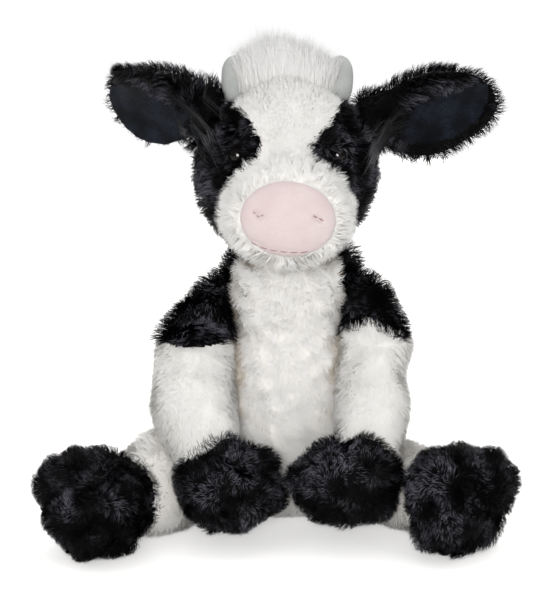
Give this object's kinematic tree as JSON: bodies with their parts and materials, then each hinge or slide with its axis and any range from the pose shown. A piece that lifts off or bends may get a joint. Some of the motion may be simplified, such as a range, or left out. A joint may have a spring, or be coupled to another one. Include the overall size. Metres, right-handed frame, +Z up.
{
  "type": "plush cow",
  "caption": "Sitting plush cow in black and white fur with a pink nose, horns, a long forelock, floppy ears and limbs that swing at their seams.",
  "frame": {"origin": "on the floor under the seat, at the middle of the flat face that the toy sits on", "axes": "+Z up, the cow faces -Y, its own left is +X"},
  "size_m": [0.2554, 0.2149, 0.275],
  "materials": {
    "black_fur": "long-pile plush, black",
    "white_fur": "curly plush, warm white",
    "white_hair": "long straight pile, silvery white",
    "pink_velour": "short velour, pale pink",
    "dark_velour": "short velour, dark navy grey",
    "grey_velour": "short velour, light grey",
    "pink_thread": "embroidery thread, dusky pink",
    "eye_plastic": "polished black",
    "washer_plastic": "moulded, natural white",
    "stuffing": "loose polyester fibre",
    "pellet_cloth": "plain woven bag of plastic pellets"
  },
  "bodies": {
    "torso": {"belly_panel": "white_fur", "shoulder_yoke": "black_fur", "seat_cover": "white_fur", "torso_stuffing": "stuffing", "seat_pellet_bag": "pellet_cloth"},
    "neck": {"neck_stuffing": "stuffing"},
    "head": {"blaze_cover": "white_fur", "cheek_cover_left": "black_fur", "cheek_cover_right": "black_fur", "muzzle_cover": "white_fur", "head_stuffing": "stuffing", "nose_pad": "pink_velour", "mouth_stitch": "pink_thread", "forelock": "white_hair", "nostril_stitch_left": "pink_thread", "nostril_stitch_right": "pink_thread", "eye_left": "eye_plastic", "eye_right": "eye_plastic", "eye_washer_left": "washer_plastic", "eye_washer_right": "washer_plastic", "horn_left": "grey_velour", "horn_right": "grey_velour"},
    "ear_left": {"ear_back_left": "black_fur", "ear_lining_left": "dark_velour"},
    "arm_left": {"upper_arm_cover_left": "black_fur", "forearm_cover_left": "white_fur", "front_hoof_cover_left": "black_fur", "arm_stuffing_left": "stuffing", "front_hoof_pellet_bag_left": "pellet_cloth"},
    "leg_left": {"leg_cover_left": "white_fur", "hind_hoof_cover_left": "black_fur", "leg_stuffing_left": "stuffing", "hind_hoof_pellet_bag_left": "pellet_cloth"},
    "ear_right": {"ear_back_right": "black_fur", "ear_lining_right": "dark_velour"},
    "arm_right": {"upper_arm_cover_right": "black_fur", "forearm_cover_right": "white_fur", "front_hoof_cover_right": "black_fur", "arm_stuffing_right": "stuffing", "front_hoof_pellet_bag_right": "pellet_cloth"},
    "leg_right": {"leg_cover_right": "white_fur", "hind_hoof_cover_right": "black_fur", "leg_stuffing_right": "stuffing", "hind_hoof_pellet_bag_right": "pellet_cloth"},
    "tail": {"tail_cover": "white_fur", "tail_tuft": "black_fur"}
  },
  "joints": [
    {"name": "head_turn", "type": "hinge", "parent": "torso", "child": "neck", "pos_m": [0, -0.002, 0.126], "axis": [0, 0, 1], "range_deg": [-30, 30], "stiffness_Nm_per_rad": 1},
    {"name": "head_nod", "type": "hinge", "parent": "neck", "child": "head", "pos_m": [0, -0.002, 0.126], "axis": [1, 0, 0], "range_deg": [-12, 14], "stiffness_Nm_per_rad": 1.5},
    {"name": "ear_left_flop", "type": "hinge", "parent": "head", "child": "ear_left", "pos_m": [0.045, -0.003, 0.222], "axis": [0, 1, 0], "range_deg": [-15, 16], "stiffness_Nm_per_rad": 0.08},
    {"name": "arm_left_swing", "type": "hinge", "parent": "torso", "child": "arm_left", "pos_m": [0, -0.002, 0.126], "axis": [-1, 0, 0], "range_deg": [0, 45], "stiffness_Nm_per_rad": 0.5},
    {"name": "leg_left_splay", "type": "hinge", "parent": "torso", "child": "leg_left", "pos_m": [0.045, -0.012, 0.0225], "axis": [0, 0, 1], "range_deg": [0, 30], "stiffness_Nm_per_rad": 0.5},
    {"name": "ear_right_flop", "type": "hinge", "parent": "head", "child": "ear_right", "pos_m": [-0.045, -0.003, 0.222], "axis": [0, -1, 0], "range_deg": [-15, 16], "stiffness_Nm_per_rad": 0.08},
    {"name": "arm_right_swing", "type": "hinge", "parent": "torso", "child": "arm_right", "pos_m": [0, -0.002, 0.126], "axis": [-1, 0, 0], "range_deg": [0, 45], "stiffness_Nm_per_rad": 0.5},
    {"name": "leg_right_splay", "type": "hinge", "parent": "torso", "child": "leg_right", "pos_m": [-0.045, -0.012, 0.0225], "axis": [0, 0, -1], "range_deg": [0, 30], "stiffness_Nm_per_rad": 0.5},
    {"name": "tail_lift", "type": "hinge", "parent": "torso", "child": "tail", "pos_m": [0, 0.048, 0.03], "axis": [1, 0, 0], "range_deg": [0, 40], "stiffness_Nm_per_rad": 0.05}
  ]
}
